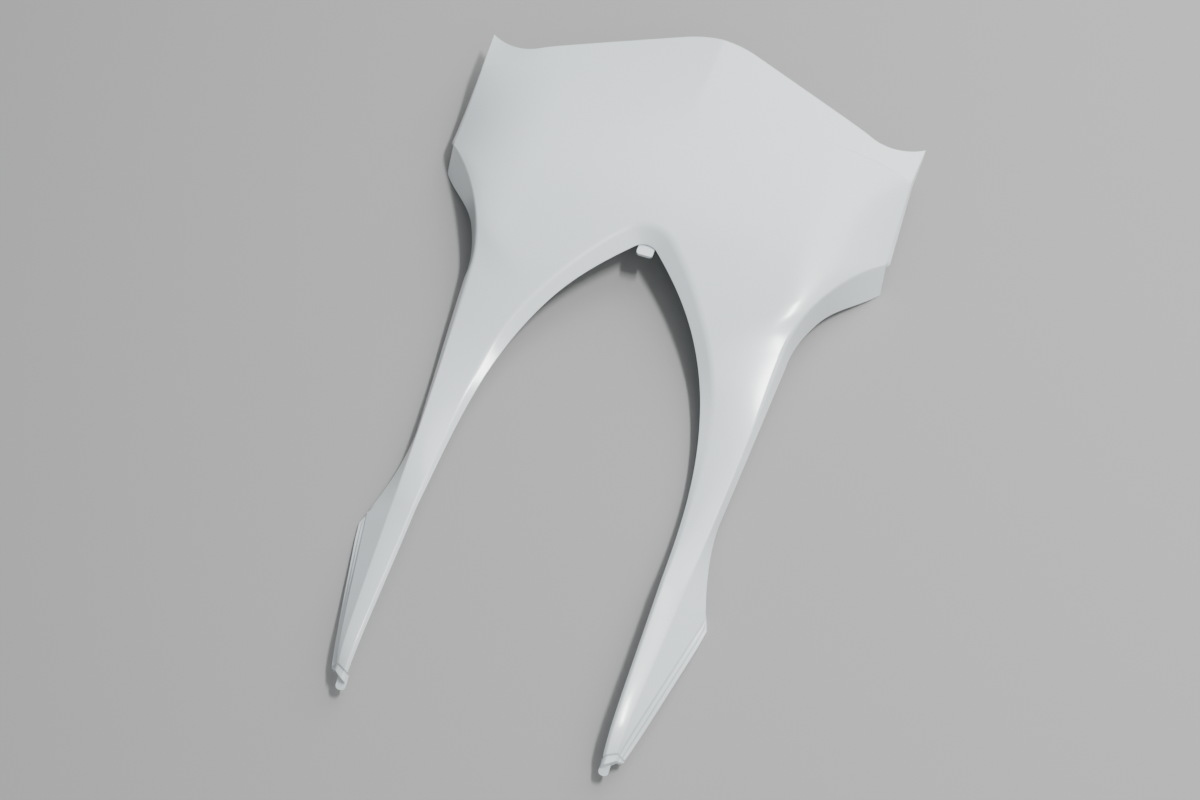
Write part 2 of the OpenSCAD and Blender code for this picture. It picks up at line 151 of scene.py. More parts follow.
# The wall outside the ridge, from the facet's corner to the rim: how far along each row lies
# without and with the rebate, and how deep the rebate is there
OUTER_ROWS = ((0.25, 0.1, REBATE_STEP), (0.5, 0.5, REBATE_STEP),
              (0.75, 0.6, REBATE_STEP + LIP_STEP), (1, 1, REBATE_STEP + LIP_STEP))

# Where between the ridge and the rim the facet's corner lies on the edges, notch and leg
EDGE_FACET = 0.4
NOTCH_FACET = 0.6
LEG_FACET = 0.85

# The rebate's corners and the leg ends
RIM_START = 0.065
CORNER_REBATE = 0.83
CORNER_END = 0.18
REBATE_TAPER = 0.12
END_TAPER = 0.15
DRAFT = 0.4
END_POS = 8.4
END_W = 8.8
END_BACK = 3.6
FACET_TAPER = (1.2, 0.3, -1.8)
END_LEDGE = 4.2
LEDGE_TAPER = 0.9
LEDGE_FALL = 1
LEDGE_IN = 0.4
END_DROP = 2.4
CORNER_GAP = 0.5
MITRE_LIMIT = 0.72
LEVEL_LIMIT = 0.62

# Tongues, tab and screw bosses, whose tops go BOSS_SINK of the wall's thickness into the wall
TONGUE_W = 5.4
TONGUE_LEN = 4.6
TONGUE_DIP = math.radians(24)
TONGUE_ROOT = 4
TONGUE_INSET = -0.6
TAB_W = 10
TAB_REACH = 6.4
TAB_ROOT = 3.4
TAB_BELOW = 1.3
PLATE_T = 2.2
TONGUE_ROUND = TONGUE_W / 3
TAB_ROUND = TAB_W / 6
ROUND_STEPS = 8
BOSSES = ((60, PANEL_LEN - 70.5), (64, PANEL_LEN - 148.5))
BOSS_R = 4.5
PILOT_R = 2
PILOT_DEPTH = 9
BOSS_FACE_Z = 21
BOSS_SINK = 0.4
BOSS_SIDES = 48
RIB_T = 1.6
RIB_REACH = 4
RIB_ABOVE = 3

# How far the soft corners reach along the faces beside them. The crest's and the ridge's together
# take at most SOFT_ROOM of the face between them. Any corner takes at most SOFT_SHARE of a
# stretch whose other end is soft too, and else FREE_SHARE.
CREST_SOFT = 2.6
TOP_SOFT = 0.8
NOTCH_SOFT = 1.6
WAIST_SOFT = 2.2
LEG_SOFT = 0.8
FOOT_SOFT = 0.6
RIM_SOFT = 0.4
STEP_SOFT = 0.3
END_SOFT = 0.3
SOFT_ROOM = 0.7
SOFT_SHARE = 0.47
FREE_SHARE = 0.95
CORNER_STEPS = 4
SHARP_ANGLE = math.radians(34)

# How many stations each stretch of the outline gets
CROWN_STEPS = 40
EAR_STEPS = 28
EAR_SIDE_STEPS = 12
HIP_SIDE_STEPS = 22
NOTCH_STEPS = 44
LEG_STEPS = 24
FLARE_STEPS = 20
FOOT_STEPS = 30

# How many strips the face has across, and how they crowd together at its knee, which is the
# ear's crease or a set share of the way
FACE_STRIPS = 40
KNEE_STRIP = 22
STRIP_CROWDING = 1.8
KNEE_SHARE = 0.65
KNEE_LIMIT = 0.97
KNEE_BLEND = 0.4

# The place of the ridge among a station's corners, after the rim, the crest and the strips
RIDGE_PLACE = FACE_STRIPS + 3

# How far round the opening each stretch of the outline reaches
CROWN_Q = 0.6
EAR_Q = 1.05
HIP_Q = 1.35
WAIST_Q = 1.78
SHOULDER_Q = 3.06

# Half a step along a curve when its direction is taken, the least length that is divided by, and
# how suddenly the leg changes at its end
HALF_STEP = 0.02
LEAST_LENGTH = 1e-9
END_POWER = 9


def lerp(a, b, t):
    return a + (b - a) * t


def clamp(t):
    return min(1, max(0, t))


def ease(t):
    return clamp(t) ** 2 * (3 - 2 * clamp(t))


def squared(v):
    return max(0, v) ** 2


def last_stretch(t):
    """Near 0 along most of a leg and 1 at its end."""
    return max(0, t) ** END_POWER


def late(t, rate):
    """Eases from 0 to 1 over the last stretch before t is 1, a shorter one for a higher rate."""
    return ease(rate * t - (rate - 1))


def vec(*parts):
    return np.array(parts, dtype=float)


def unit(v):
    return v / np.linalg.norm(v)


def curve3(a, b, c, t):
    return lerp(lerp(a, b, t), lerp(b, c, t), t)


def curve4(a, b, c, d, t):
    return lerp(curve3(a, b, c, t), curve3(b, c, d, t), t)


def raised(p, z):
    return vec(p[0], p[1], z)


# Top edge: an arc over the centre, a straight stretch and a concave sweep up to the ear
ARC_CENTRE_Y = PANEL_LEN - APEX_ROUND / math.cos(TOP_SWEEP)
ARC_END_X = APEX_ROUND * math.sin(TOP_SWEEP)
ACROSS_SWEEP = vec(math.sin(TOP_SWEEP), math.cos(TOP_SWEEP))


def sweep_y(x):
    return PANEL_LEN - x * math.tan(TOP_SWEEP)


def top_edge(x):
    if x < ARC_END_X:
        return vec(x, ARC_CENTRE_Y + math.sqrt(APEX_ROUND ** 2 - x * x))
    return vec(x, sweep_y(x))


EAR_TIP = vec(EAR_HALF_W, sweep_y(EAR_HALF_W) + EAR_RISE)
EAR_TURN_X = lerp(EAR_ROOT, EAR_HALF_W, EAR_TURN)
CREASE_END = vec(HIP_HALF_W + CREASE_OUT, CREASE_POS)
FOLD_END = vec(CREASE_END[0], FOLD_POS)
ACROSS_FOLD = vec(math.sin(FOLD_TURN), math.cos(FOLD_TURN))
FOLD_SLOPE = (EAR_BASE_Z - EAR_Z) / np.dot(EAR_TIP - FOLD_END, ACROSS_FOLD)


def ear_edge(t):
    return curve3(top_edge(EAR_ROOT), vec(EAR_TURN_X, sweep_y(EAR_TURN_X)), EAR_TIP, t)


def ear_fold(p):
    """How far the ear folds down beyond its crease."""
    fade = ease((p[0] - EAR_ROOT + FOLD_FADE) / (EAR_HALF_W - EAR_ROOT + FOLD_FADE))
    beyond = np.dot(p[:2] - FOLD_END, ACROSS_FOLD)
    step = FOLD_STEP * ease(beyond / FOLD_STEP_W) * ease((p[0] - FOLD_STEP_X) / FOLD_STEP_FADE)
    return FOLD_SLOPE * max(0, beyond) * fade + step


def side_height(y):
    t = clamp((EAR_TIP[1] - y) / (EAR_TIP[1] - HIP_POS))
    return curve4(EAR_BASE_Z, EAR_BASE_Z - SIDE_SAG, HIP_Z, HIP_Z, t)


def dome(p):
    """Height of the crown over a place in plan."""
    swept_y = p[1] + p[0] * math.tan(TOP_SWEEP)
    top_fall = (DOME_Z - TOP_Z) * squared((swept_y - DOME_POS) / (PANEL_LEN - DOME_POS))
    arch_span = DOME_POS - OPENING_LEN - BEVEL_W
    arch_fall = (DOME_Z - ARCH_Z) * squared((DOME_POS - p[1]) / arch_span)
    roll = squared((p[0] - ROLL_START) / (HIP_HALF_W - ROLL_START))
    return lerp(DOME_Z - top_fall - arch_fall, side_height(p[1]), roll)


# Opening: a rounded point, two curves and a straight stretch, numbered 0 to 4 along q
FLANK_TURN = math.pi / 2 - ARCH_POINT
ARCH_JOIN = vec(ARCH_HALF_W, ARCH_POS)
STRAIGHT_TOP = vec(OPENING_HALF_W, STRAIGHT_POS)
LEG_END = vec(OPENING_HALF_W, END_POS)


def round_point(turn):
    return vec(ARCH_ROUND * math.sin(turn), OPENING_LEN - ARCH_ROUND * (1 - math.cos(turn)))


def opening(q):
    if q < 1:
        return round_point(FLANK_TURN * q)
    join_dir = vec(math.sin(ARCH_LEAN), -math.cos(ARCH_LEAN))
    if q < 2:
        start = round_point(FLANK_TURN)
        start_dir = vec(math.sin(ARCH_POINT), -math.cos(ARCH_POINT))
        pull = HOLD * np.linalg.norm(ARCH_JOIN - start)
        return curve4(start, start + pull * start_dir, ARCH_JOIN - pull * join_dir, ARCH_JOIN, q - 1)
    if q < 3:
        pull = HOLD * np.linalg.norm(STRAIGHT_TOP - ARCH_JOIN)
        return curve4(ARCH_JOIN, ARCH_JOIN + pull * join_dir,
                      STRAIGHT_TOP + vec(0, pull), STRAIGHT_TOP, q - 2)
    return lerp(STRAIGHT_TOP, LEG_END, q - 3) + vec(LEG_SPLAY * last_stretch(q - 3), 0)


def inward(q):
    """Plan direction from the opening's edge into the panel."""
    if q == 0:
        return vec(0, 1)
    if q > 3:
        return vec(1, END_SLANT * last_stretch(q - 3))
    along = unit(opening(q + HALF_STEP) - opening(q - HALF_STEP))
    return vec(-along[1], along[0])


def crest_at(q):
    """Where the part's crest runs in plan. The heights along the crest are taken there."""
    return opening(q) + lerp(BEVEL_W, LEG_BEVEL_W, ease(q - 1)) * inward(q)


# Where the crest leaves the dome for the leg, and its slope there
BEND_Q = 2
BEFORE_BEND_Q = 1.9
BEND = dome(crest_at(BEND_Q))
BEND_RUN = np.linalg.norm(crest_at(BEFORE_BEND_Q) - crest_at(BEND_Q))
BEND_SLOPE = (dome(crest_at(BEFORE_BEND_Q)) - BEND) / BEND_RUN


def crest_z(q):
    if q < BEND_Q:
        return dome(crest_at(q))
    if q < 3:
        low = BEND - BEND_SLOPE * (ARCH_POS - STRAIGHT_POS) / 2
        return curve3(BEND, low, LEG_Z, q - 2)
    return lerp(LEG_Z, TIP_Z, ease(q - 3)) - TIP_DROOP * last_stretch(q - 3)


def changed(value, changes, q):
    """A value that starts as given and eases to each new one round the opening."""
    for start, end, new in changes:
        value = lerp(value, new, ease((q - start) / (end - start)))
    return value


def crest(q):
    return raised(opening(q) + changed(BEVEL_W, BEVEL_WIDTHS, q) * inward(q), crest_z(q))


def inner_rim(q):
    return raised(opening(q), crest_z(q) - changed(BEVEL_DROP, BEVEL_DROPS, q))


def crest_soft(q):
    return changed(CREST_SOFT, CREST_SOFTS, q)


def side_edge(t):
    """Side edge from the ear tip down to the hip corner."""
    y = lerp(EAR_TIP[1], HIP_POS, t)
    if y > CREASE_POS:
        return vec(lerp(CREASE_END[0], EAR_HALF_W, (y - CREASE_POS) / (EAR_TIP[1] - CREASE_POS)), y)
    return vec(lerp(HIP_HALF_W, CREASE_END[0], (y - HIP_POS) / (CREASE_POS - HIP_POS)), y)


# Notch between the hip corner and the waist
HIP = vec(HIP_HALF_W, HIP_POS)
WAIST = vec(WAIST_HALF_W, WAIST_POS)
NOTCH = HIP - WAIST


def notch_crease(t):
    hip_pull = vec(NOTCH_REACH[0] * NOTCH[0], NOTCH_REACH[1] * NOTCH[1])
    waist_pull = vec(0, NOTCH_REACH[1] * NOTCH[1])
    p = curve4(HIP, HIP - hip_pull, WAIST + waist_pull, WAIST, t)
    fall = (dome(WAIST) - WAIST_Z) * ease((t - WAIST_EASE) / (1 - WAIST_EASE))
    return raised(p, dome(p) - fall)


def notch_rim(t):
    turn = -HIP_TURN * (1 - t)
    out = lerp(FLANGE_LEAN, WAIST_BEVEL_OUT, ease(NOTCH_LEAN_IN * t))
    p = notch_crease(t)[:2] + out * vec(math.cos(turn), math.sin(turn))
    return raised(p, WAIST_RIM_Z * math.sin(math.pi / 2 * t))


# Upper leg, t from 0 at the waist to 1 at the shoulder
FLARE_FROM = (WAIST_POS - FLARE_POS) / (WAIST_POS - SHOULDER_POS)
SHOULDER = vec(RIDGE_HALF_W + SHOULDER_OUT, SHOULDER_POS, REBATE_WALL + REBATE_STEP + LIP_STEP)


def leg_ridge(t):
    return vec(lerp(WAIST_HALF_W, RIDGE_HALF_W, t),
               lerp(WAIST_POS, SHOULDER_POS, t),
               curve4(WAIST_Z, RIDGE_LOW_Z - RIDGE_DIP, RIDGE_LOW_Z, SHOULDER_Z, t))


def leg_rim(t):
    if t < FLARE_FROM:
        p = leg_ridge(t)
        out = lerp(WAIST_BEVEL_OUT, BEVEL_OUT, t / FLARE_FROM)
        return vec(p[0] + out, p[1], lerp(WAIST_RIM_Z, LEG_RIM_Z, ease(t / FLARE_FROM)))
    p = leg_ridge(FLARE_FROM)
    start = vec(p[0] + BEVEL_OUT, p[1], LEG_RIM_Z)
    turn = start + vec(FLARE_TURN[0], FLARE_TURN[1], 0)
    return curve3(start, turn, SHOULDER, (t - FLARE_FROM) / (1 - FLARE_FROM))


# Lower leg, t from 0 at the shoulder to 1 at its end
FACET_END = vec(OPENING_HALF_W + END_W, END_POS + END_BACK, FACET_TIP_Z + TIP_DROOP)
FOOT_DIR = unit(FACET_END[:2] - SHOULDER[:2])
FOOT_OUT = vec(-FOOT_DIR[1], FOOT_DIR[0])


def foot_ridge(t):
    return lerp(leg_ridge(1), FACET_END - vec(*FACET_TAPER), t) - vec(0, 0, TIP_DROOP * last_stretch(t))


def foot_facet(t):
    return lerp(SHOULDER, FACET_END, t) - vec(0, 0, TIP_DROOP * last_stretch(t))


def foot_rim(t):
    width = REBATE_W * (1 - REBATE_TAPER * t - END_TAPER * last_stretch(t))
    width *= min(1, DRAFT / REBATE_W + t / RIM_START)
    width *= lerp(CORNER_REBATE, 1, min(1, t / CORNER_END))
    z = lerp(REBATE_WALL, FOOT_RIM_Z, max(0, t - RIM_START) / (1 - RIM_START))
    return raised(foot_facet(t)[:2] + width * FOOT_OUT, z)


def strip_knee(brow, ridge, first, last):
    """Where along the face the strips grow denser: on the ear's crease, or at a set share where
    the crease doesn't cross the face."""
    plain = lerp(first, last, KNEE_SHARE)
    below = np.dot(brow[:2] - FOLD_END, ACROSS_FOLD)
    above = np.dot(ridge[:2] - FOLD_END, ACROSS_FOLD)
    if above <= below:
        return plain
    crease = below / (below - above)
    return lerp(min(crease, lerp(first, last, KNEE_LIMIT)), plain, ease((crease - 1) / KNEE_BLEND))


def station(q, ridge, facet, rim, domed, rebate, soft, roll=FACE_ROLL):
    """Corners across the wall from the opening's rim over the crest, face, ridge, facet and
    rebate to the outer rim. The face follows the dome as far as domed says, and leaves it for
    the ridge the later the higher roll is."""
    brow = crest(q)
    width = np.linalg.norm(ridge - brow)
    reach = SOFT_ROOM / max(SOFT_ROOM, (crest_soft(q) + soft) / width)
    end_gap = dome(ridge) - ear_fold(ridge) - ridge[2]

    def face(u):
        p = lerp(brow, ridge, u)
        bulged = p[2] + LEG_BULGE * min(1, width / BULGE_W) * 4 * u * (1 - u)
        return raised(p, lerp(bulged, dome(p) - ear_fold(p) - end_gap * u ** roll, domed))

    def strips(away, count):
        return [face(lerp(knee, away, (k / count) ** STRIP_CROWDING)) for k in range(count + 1)]

    first = reach * crest_soft(q) / width
    last = 1 - reach * soft / width
    knee = strip_knee(brow, ridge, first, last)
    inner = strips(first, KNEE_STRIP)
    outer = strips(last, FACE_STRIPS - KNEE_STRIP)
    slope = max(0, facet[2] - rim[2] - rebate * (REBATE_STEP + LIP_STEP))
    wall = []
    for plain, stepped, drop in OUTER_ROWS:
        p = lerp(facet[:2], rim[:2], lerp(plain, stepped, rebate))
        wall.append(raised(p, facet[2] - plain * slope - rebate * drop))
    return [inner_rim(q), brow] + inner[:0:-1] + outer + [ridge, facet] + wall


def edge_station(q, p, out):
    """A station along the top or side edge, whose rim is a short return."""
    top = raised(p, dome(p) - ear_fold(p))
    rim = top + EDGE_RETURN * raised(out, -1)
    return station(q, top, lerp(top, rim, EDGE_FACET), rim, 1, 0, TOP_SOFT)


def crown_stations():
    made = []
    for k in range(CROWN_STEPS):
        t = k / CROWN_STEPS
        x = EAR_ROOT * t
        out = ACROSS_SWEEP
        if x < ARC_END_X:
            out = vec(x, math.sqrt(APEX_ROUND ** 2 - x * x)) / APEX_ROUND
        made.append(edge_station(CROWN_Q * t, top_edge(x), LEAN * out))
    return made


def ear_stations():
    made = []
    for k in range(EAR_STEPS + 1):
        t = k / EAR_STEPS
        along = unit(ear_edge(t + HALF_STEP) - ear_edge(t - HALF_STEP))
        made.append(edge_station(lerp(CROWN_Q, EAR_Q, t), ear_edge(t), LEAN * vec(-along[1], along[0])))
    return made


def side_stations():
    span = EAR_TIP[1] - HIP_POS
    crease_t = (EAR_TIP[1] - CREASE_POS) / span
    last_t = 1 - CORNER_GAP / span
    upper = [crease_t * k / EAR_SIDE_STEPS for k in range(1, EAR_SIDE_STEPS + 1)]
    lower = [lerp(crease_t, last_t, k / HIP_SIDE_STEPS) for k in range(1, HIP_SIDE_STEPS + 1)]
    made = []
    for t in upper + lower:
        p = side_edge(t)
        out = lerp(LEAN, SIDE_LEAN, t) if t < last_t else LEAN
        out = min(out, (EAR_HALF_W - p[0]) / EDGE_RETURN)
        made.append(edge_station(lerp(EAR_Q, HIP_Q, t), p, vec(out, 0)))
    return made


def notch_stations():
    made = []
    for k in range(NOTCH_STEPS):
        t = k / NOTCH_STEPS
        q = lerp(HIP_Q, WAIST_Q, t)
        sunk = NOTCH_ROLL * ease(NOTCH_ROLL_IN * t) * (1 - late(t, NOTCH_ROLL_OUT))
        ridge = notch_crease(t) - vec(0, 0, sunk)
        rim = notch_rim(t)
        soft = lerp(TOP_SOFT, NOTCH_SOFT, ease(NOTCH_SOFT_IN * t)) + (WAIST_SOFT - NOTCH_SOFT) * late(t, 2)
        roll = lerp(HIP_FACE_ROLL, FACE_ROLL, ease(FACE_ROLL_IN * t - FACE_ROLL_WAIT))
        facet = lerp(ridge, rim, NOTCH_FACET)
        made.append(station(q, ridge, facet, rim, 1 - late(t, 2), 0, soft, roll))
    return made


def leg_stations():
    upper = [FLARE_FROM * k / LEG_STEPS for k in range(LEG_STEPS)]
    lower = [lerp(FLARE_FROM, 1, k / FLARE_STEPS) for k in range(FLARE_STEPS)]
    made = []
    for t in upper + lower:
        ridge, rim = leg_ridge(t), leg_rim(t)
        facet = lerp(ridge, rim, LEG_FACET)
        soft = lerp(WAIST_SOFT, LEG_SOFT, ease(WAIST_SOFT_OUT * t))
        made.append(station(lerp(WAIST_Q, SHOULDER_Q, t), ridge, facet, rim, 0, 0, soft))
    return made


def foot_stations():
    """The first stations are at the shoulder and where the rebate is full."""
    made = []
    for k in range(-1, FOOT_STEPS + 1):
        t = (k + 1) * RIM_START if k < 1 else lerp(RIM_START, 1, k / FOOT_STEPS)
        made.append(station(lerp(SHOULDER_Q, 4, t), foot_ridge(t), foot_facet(t), foot_rim(t), 0,
                            min(1, t / RIM_START), FOOT_SOFT))
    return made


def end_stations(last):
    """Past its end the leg steps down to a ledge and ends in a low edge."""
    span = last[-1][0] - last[0][0]
    made = []
    for run, fall in ((0, 0), (END_LEDGE, LEDGE_FALL), (END_LEDGE + DRAFT, LEDGE_FALL + END_DROP)):
        row = []
        for p in last:
            u = (p[0] - last[0][0]) / span
            share = 1 - LEDGE_TAPER * u ** 3
            row.append(p + vec(LEDGE_IN * (1 - u), -DRAFT - run * share, -REBATE_STEP - fall * share))
        made.append(row)
    return made


def mirrored(row):
    return [p * vec(-1, 1, 1) for p in row]


def directions(v):
    return v / np.maximum(np.linalg.norm(v, axis=-1, keepdims=True), LEAST_LENGTH)


def inner_skin(face, foot_rows, end_rows):
    """The inner skin one wall inside the face: mitred at the creases, straight below on the
    rebate and the leg ends, and cut level at the outer rim."""
    rows = len(face)
    along = np.empty_like(face)
    along[1:-1] = face[2:] - face[:-2]
    along[0] = face[1] - face[0]
    along[-1] = face[-1] - face[-2]
    across = directions(np.diff(face, axis=1))
    before = np.concatenate([across[:, :1], across], axis=1)
    after = np.concatenate([across, across[:, -1:]], axis=1)
    before = directions(np.cross(along, before))
    after = directions(np.cross(along, after))
    normal = directions(before + after)
    square = np.maximum(MITRE_LIMIT, np.sum(normal * after, axis=-1, keepdims=True))
    inset = WALL * normal / square
    level = normal[:, -1, :2]
    length = np.maximum(np.linalg.norm(level, axis=-1), LEVEL_LIMIT)
    inset[:, -1] = 0
    inset[:, -1, :2] = WALL * (level / length[:, None] ** 2)
    for i in range(rows):
        rank = min(i, rows - 1 - i)
        if rank < end_rows:
            inset[i] = vec(0, 0, WALL)
        if rank < foot_rows:
            inset[i, RIDGE_PLACE + 1:] = vec(0, 0, REBATE_WALL)
    return face - inset


def rounded(points, reaches):
    """Points with a run of points for a soft corner at each one whose reach isn't 0. A point
    may be a whole row of them, each with its own reach."""
    made = []
    for k, (here, reach) in enumerate(zip(points, reaches)):
        if np.all(reach == 0):
            made.append(here)
            continue
        ends = []
        for beside in (k - 1, (k + 1) % len(points)):
            way = points[beside] - here
            length = np.maximum(np.linalg.norm(way, axis=-1, keepdims=True), LEAST_LENGTH)
            share = FREE_SHARE if np.all(reaches[beside] == 0) else SOFT_SHARE
            ends.append(here + way * np.minimum(share, reach / length))
        for step in range(CORNER_STEPS + 1):
            made.append(curve3(ends[0], here, ends[1], step / CORNER_STEPS))
    return made


def skin_rings():
    """Closed rings of points round the wall, one for each station from one leg end to the other."""
    foot = foot_stations()
    ends = end_stations(foot[-1])
    half = crown_stations() + ear_stations() + side_stations() + notch_stations() + leg_stations()
    half += foot + ends
    face = np.array([mirrored(row) for row in half[:0:-1]] + half)
    columns = face.shape[1]
    back = inner_skin(face, len(foot) + len(ends), len(ends))
    ring = np.concatenate([face, back[:, ::-1]], axis=1)
    reaches = [0.0] * (2 * columns)
    reaches[0] = reaches[columns - 1] = reaches[columns] = reaches[-1] = RIM_SOFT
    for corner, strip in ((1, 2), (RIDGE_PLACE, RIDGE_PLACE - 1)):
        reaches[corner] = np.linalg.norm(face[:, strip] - face[:, corner], axis=-1, keepdims=True)
    for corner in range(RIDGE_PLACE + 1, columns - 1):
        reaches[corner] = STEP_SOFT
    rings = np.stack(rounded([ring[:, k] for k in range(2 * columns)], reaches), axis=1)
    reaches = [0.0] * len(rings)
    for k in range(1, len(ends) + 1):
        reaches[k] = reaches[-1 - k] = END_SOFT
    return rounded(list(rings), reaches)


# Y is measured from the tongue ends above, and the panel stands with its middle at the origin
MIDDLE = (top_edge(0)[1] + LEAN * EDGE_RETURN) / 2


def place(p):
    return Vector((p[0] * MM, (p[1] - MIDDLE) * MM, p[2] * MM))


def add_skin(mesh):
    rings = [[mesh.verts.new(place(p)) for p in ring] for ring in skin_rings()]
    for one, other in zip(rings, rings[1:]):
        for k in range(len(one)):
            after = (k + 1) % len(one)
            mesh.faces.new((one[k], one[after], other[after], other[k]))
    mesh.faces.new(rings[0][::-1])
    mesh.faces.new(rings[-1])


def prism(mesh, outline, low, high, turn, soft=0.0):
    """A prism over an outline in its own X and Y, from low to high along its Z, then turned."""
    base = [mesh.verts.new((x, y, low)) for x, y in outline]
    top = [mesh.verts.new((x, y, high)) for x, y in outline]
    faces = [mesh.faces.new(base[::-1]), mesh.faces.new(top)]
    for k in range(len(outline)):
        after = (k + 1) % len(outline)
        faces.append(mesh.faces.new((base[k], base[after], top[after], top[k])))
    if soft:
        edges = list(faces[0].edges) + list(faces[1].edges)
        made = bmesh.ops.bevel(mesh, geom=edges, offset=soft, segments=2, profile=0.5, affect="EDGES")
        faces = [f for f in faces if f.is_valid] + made["faces"]
    verts = list(dict.fromkeys(v for f in faces for v in f.verts))
    bmesh.ops.transform(mesh, matrix=turn, verts=verts)
    for v in verts:
        v.co = place(v.co)


def plate_outline(w, reach, corner):
    """A plate from the origin towards -Y with two rounded corners."""
    points = [(w / 2, 0), (-w / 2, 0)]
    for centre_x, first in ((corner - w / 2, math.pi), (w / 2 - corner, 3 * math.pi / 2)):
        for k in range(ROUND_STEPS + 1):
            turn = first + math.pi / 2 * k / ROUND_STEPS
            points.append((centre_x + corner * math.cos(turn), corner - reach + corner * math.sin(turn)))
    return points


def add_tongue(mesh, side):
    end = end_stations(foot_stations()[-1])[-1][0]
    x = end[0] + TONGUE_INSET + TONGUE_W / 2
    turn = (Matrix.Translation((side * x, TONGUE_LEN * math.cos(TONGUE_DIP), end[2]))
            @ Matrix.Rotation(TONGUE_DIP, 4, "X") @ Matrix.Translation((0, TONGUE_ROOT, 0)))
    outline = plate_outline(TONGUE_W, TONGUE_LEN + TONGUE_ROOT, TONGUE_ROUND)
    prism(mesh, outline, -PLATE_T, 0, turn, RIM_SOFT)


def add_tab(mesh):
    turn = Matrix.Translation((0, OPENING_LEN + TAB_ROOT, ARCH_Z - BEVEL_DROP - TAB_BELOW))
    outline = plate_outline(TAB_W, TAB_REACH + TAB_ROOT, TAB_ROUND)
    prism(mesh, outline, -PLATE_T, 0, turn, RIM_SOFT)


def boss_ring(mesh, x, y, r, z):
    """A ring of points round a boss, or one point over and over where its radius is 0."""
    if r == 0:
        return [mesh.verts.new(place((x, y, z)))] * BOSS_SIDES
    turns = [2 * math.pi * k / BOSS_SIDES for k in range(BOSS_SIDES)]
    return [mesh.verts.new(place((x + r * math.cos(turn), y + r * math.sin(turn), z))) for turn in turns]


def add_boss(mesh, x, y, side):
    """A round boss with a blind pilot hole and four ribs, up to just inside the wall."""
    top = dome((x, y)) - WALL + BOSS_SINK * WALL
    pilot_top = BOSS_FACE_Z + PILOT_DEPTH
    soft_z = BOSS_FACE_Z + RIM_SOFT
    profile = [(0, pilot_top), (PILOT_R, pilot_top), (PILOT_R, soft_z), (PILOT_R + RIM_SOFT, BOSS_FACE_Z),
               (BOSS_R - RIM_SOFT, BOSS_FACE_Z), (BOSS_R, soft_z), (BOSS_R, top), (0, top)]
    rings = [boss_ring(mesh, side * x, y, r, z) for r, z in profile]
    for one, other in zip(rings, rings[1:]):
        for k in range(BOSS_SIDES):
            after = (k + 1) % BOSS_SIDES
            corners = [one[k], one[after], other[after], other[k]]
            mesh.faces.new(list(dict.fromkeys(corners)))
    rib_top = top - BOSS_FACE_Z
    outline = [(PILOT_R + RIM_SOFT, RIB_ABOVE), (BOSS_R, RIB_ABOVE), (BOSS_R + RIB_REACH, rib_top),
               (PILOT_R + RIM_SOFT, rib_top)]
    for quarter in range(4):
        turn = (Matrix.Translation((side * x, y, BOSS_FACE_Z))
                @ Matrix.Rotation(quarter * math.pi / 2, 4, "Z") @ Matrix.Rotation(math.pi / 2, 4, "X"))
        prism(mesh, outline, -RIB_T / 2, RIB_T / 2, turn)


def panel_piece():
    """The whole moulding: skin, tab, tongues and bosses in one mesh."""
    mesh = bmesh.new()
    add_skin(mesh)
    add_tab(mesh)
    for side in (-1, 1):
        add_tongue(mesh, side)
        for x, y in BOSSES:
            add_boss(mesh, x, y, side)
    bmesh.ops.recalc_face_normals(mesh, faces=mesh.faces)
    data = bpy.data.meshes.new("nose_panel_moulding")
    mesh.to_mesh(data)
    mesh.free()
    data.shade_smooth()
    data.set_sharp_from_angle(angle=SHARP_ANGLE)
    piece = bpy.data.objects.new("nose_panel_moulding", data)
    bpy.context.collection.objects.link(piece)
    weighted = piece.modifiers.new("even_shading", "WEIGHTED_NORMAL")
    weighted.keep_sharp = True
    data.materials.append(panel_plastic())
    return piece


def node(tree, kind, **values):
    made = tree.nodes.new(kind)
    for name, value in values.items():
        if name in made.inputs:
            made.inputs[name].default_value = value
        else:
            setattr(made, name, value)
    return made


